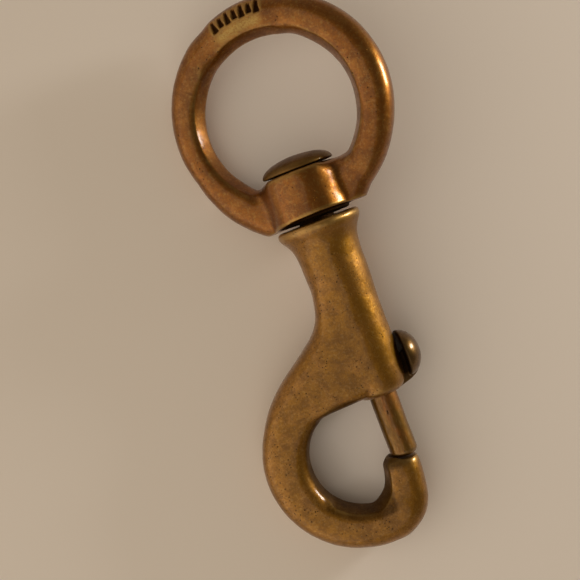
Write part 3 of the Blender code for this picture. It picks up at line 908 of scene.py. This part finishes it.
body_bronze = bronze("body_bronze", deep=(0.15, 0.06, 0.004), body=(0.33, 0.15, 0.012),
                     warm=(0.38, 0.175, 0.028), bright=(0.55, 0.36, 0.12), patch_mm=4.5, rough=0.40,
                     pit_cover=0.8, grit_bump=0.016)
eye_bronze = bronze("eye_bronze", deep=(0.13, 0.04, 0.003), body=(0.29, 0.10, 0.007),
                    warm=(0.33, 0.13, 0.018), bright=(0.52, 0.35, 0.09), patch_mm=5.5, rough=0.32,
                    pit_cover=0.3, grit_bump=0.013)
bolt_bronze = bronze("bolt_bronze", deep=(0.10, 0.045, 0.006), body=(0.25, 0.125, 0.018),
                     warm=(0.34, 0.12, 0.02), bright=(0.45, 0.30, 0.12), patch_mm=3.0, rough=0.38,
                     pit_cover=0.2, grit_bump=0.014, stretch=0.3)
knob_bronze = bronze("knob_bronze", deep=(0.05, 0.02, 0.004), body=(0.17, 0.09, 0.018),
                     warm=(0.18, 0.09, 0.02), bright=(0.27, 0.17, 0.06), patch_mm=3.5, rough=0.28,
                     pit_cover=0.1, grit_bump=0.006)
spring_wire = bronze("spring_wire", deep=(0.12, 0.09, 0.06), body=(0.4, 0.34, 0.26),
                     warm=(0.45, 0.36, 0.25), bright=(0.6, 0.55, 0.45), patch_mm=2.0, rough=0.3,
                     pit_cover=0.0, grit_bump=0.004)

# %% [markdown]
# ## Each piece to its body
#
# A piece stands for its imported node, rides on that node's body and wears its finish.

# %% Riding and finishes
for piece, node_name, body, finish, slot in (
        (hook_body, "hook_body", "body", body_bronze, "body_bronze"),
        (swivel_eye, "swivel_eye", "eye", eye_bronze, "eye_bronze"),
        (swivel_rivet, "swivel_rivet", "body", eye_bronze, "eye_bronze"),
        (bolt, "bolt", "bolt", bolt_bronze, "bolt_bronze"),
        (thumb_knob, "thumb_knob", "bolt", knob_bronze, "knob_bronze"),
        (spring, "bolt_spring", "body", spring_wire, "spring_wire")):
    piece.data.materials.clear()
    piece.data.materials.append(finish)
    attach(piece, body)
    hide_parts(node_name)
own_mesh(spring)

# %% [markdown]
# ## The table, the light and the camera
#
# The snap lies on a pale, plain table. A small window stands near and low on the knob's side,
# and draws the bright lines down the right of every round part. A large warm lamp, halfway
# up, lights it from the camera's lower left. The camera looks straight down.

# %% Table
HALF_TABLE = 1.5
floor_mesh = bpy.data.meshes.new("table")
floor_mesh.from_pydata([(-HALF_TABLE, -HALF_TABLE, 0), (HALF_TABLE, -HALF_TABLE, 0),
                        (HALF_TABLE, HALF_TABLE, 0), (-HALF_TABLE, HALF_TABLE, 0)], [],
                       [(0, 1, 2, 3)])
table = bpy.data.objects.new("table", floor_mesh)
bpy.context.scene.collection.objects.link(table)
table_finish = bpy.data.materials.new("table")
table_finish.use_nodes = True
paint = table_finish.node_tree.nodes["Principled BSDF"]
paint.inputs["Base Color"].default_value = (0.92, 0.83, 0.74, 1.0)
paint.inputs["Roughness"].default_value = 0.6
floor_mesh.materials.append(table_finish)

# %% Camera
LENS_MM, SENSOR_MM = 81.9, 36.0
AXIS_LEAN_DEG = 20.6
CAMERA_HEIGHT = 0.215
AIM_RIGHT, AIM_UP = -0.00428, -0.01098
lean = np.radians(AXIS_LEAN_DEG)
image_right = np.array([np.cos(lean), -np.sin(lean), 0.0])
image_up = np.array([np.sin(lean), np.cos(lean), 0.0])
camera_data = bpy.data.cameras.new("camera")
camera_data.sensor_width = SENSOR_MM
camera_data.lens = LENS_MM
camera_data.clip_start = 0.01
camera = bpy.data.objects.new("camera", camera_data)
place_at = COLLAR_TOP + AIM_RIGHT * image_right + AIM_UP * image_up
place_at[2] = CAMERA_HEIGHT
axes = Matrix((image_right, image_up, (0.0, 0.0, 1.0))).transposed().to_4x4()
camera.matrix_world = Matrix.Translation(place_at) @ axes
bpy.context.scene.collection.objects.link(camera)
bpy.context.scene.camera = camera
print("camera at", place_at.round(4), "lens", LENS_MM, "mm")

# %% Lights


def softbox(name, azimuth_deg, height_deg, distance, size, power, colour):
    """A rectangular area light that faces the row's origin.

    Azimuth 0 is the camera's right and 90 its top. The size is (across, upwards) in metres.
    """
    light = bpy.data.lights.new(name, "AREA")
    light.shape, light.size, light.size_y = "RECTANGLE", size[0], size[1]
    light.energy, light.color = power, colour
    thing = bpy.data.objects.new(name, light)
    azimuth, height = np.radians(azimuth_deg), np.radians(height_deg)
    flat = np.cos(azimuth) * image_right + np.sin(azimuth) * image_up
    away = np.cos(height) * flat + np.sin(height) * np.array([0.0, 0.0, 1.0])
    side = np.cross([0.0, 0.0, 1.0], away)
    side /= np.linalg.norm(side)
    turn = Matrix((side, np.cross(away, side), away)).transposed().to_4x4()
    thing.matrix_world = Matrix.Translation(distance * away) @ turn
    bpy.context.scene.collection.objects.link(thing)
    print(name, power, "W at", (distance * away).round(3))


softbox("window", 28.0, 9.0, 0.30, (0.05, 0.09), 0.5, (1.0, 0.98, 0.95))
softbox("lamp", 225.0, 45.0, 0.30, (0.60, 0.54), 0.54, (1.0, 0.91, 0.79))

# %% The room: dark overhead, brighter low down, with light from the lower left


def room_light():
    """World strength: a smooth step of the direction's height, times one of its X."""
    world = bpy.data.worlds.new("room")
    world.use_nodes = True
    tree = world.node_tree
    towards = node(tree, "ShaderNodeSeparateXYZ")
    link(tree, node(tree, "ShaderNodeTexCoord").outputs["Generated"], towards.inputs[0])
    low_down = remap(tree, towards.outputs["Z"], 0.85, 0.35, 0.18, 0.40)
    leaning = remap(tree, towards.outputs["X"], 1.0, -1.0, 0.35, 1.65)
    background = tree.nodes["Background"]
    background.inputs["Color"].default_value = (1.0, 0.83, 0.62, 1.0)
    link(tree, maths(tree, "MULTIPLY", low_down, leaning), background.inputs["Strength"])
    bpy.context.scene.world = world


room_light()
bpy.context.scene.view_settings.view_transform = "Standard"
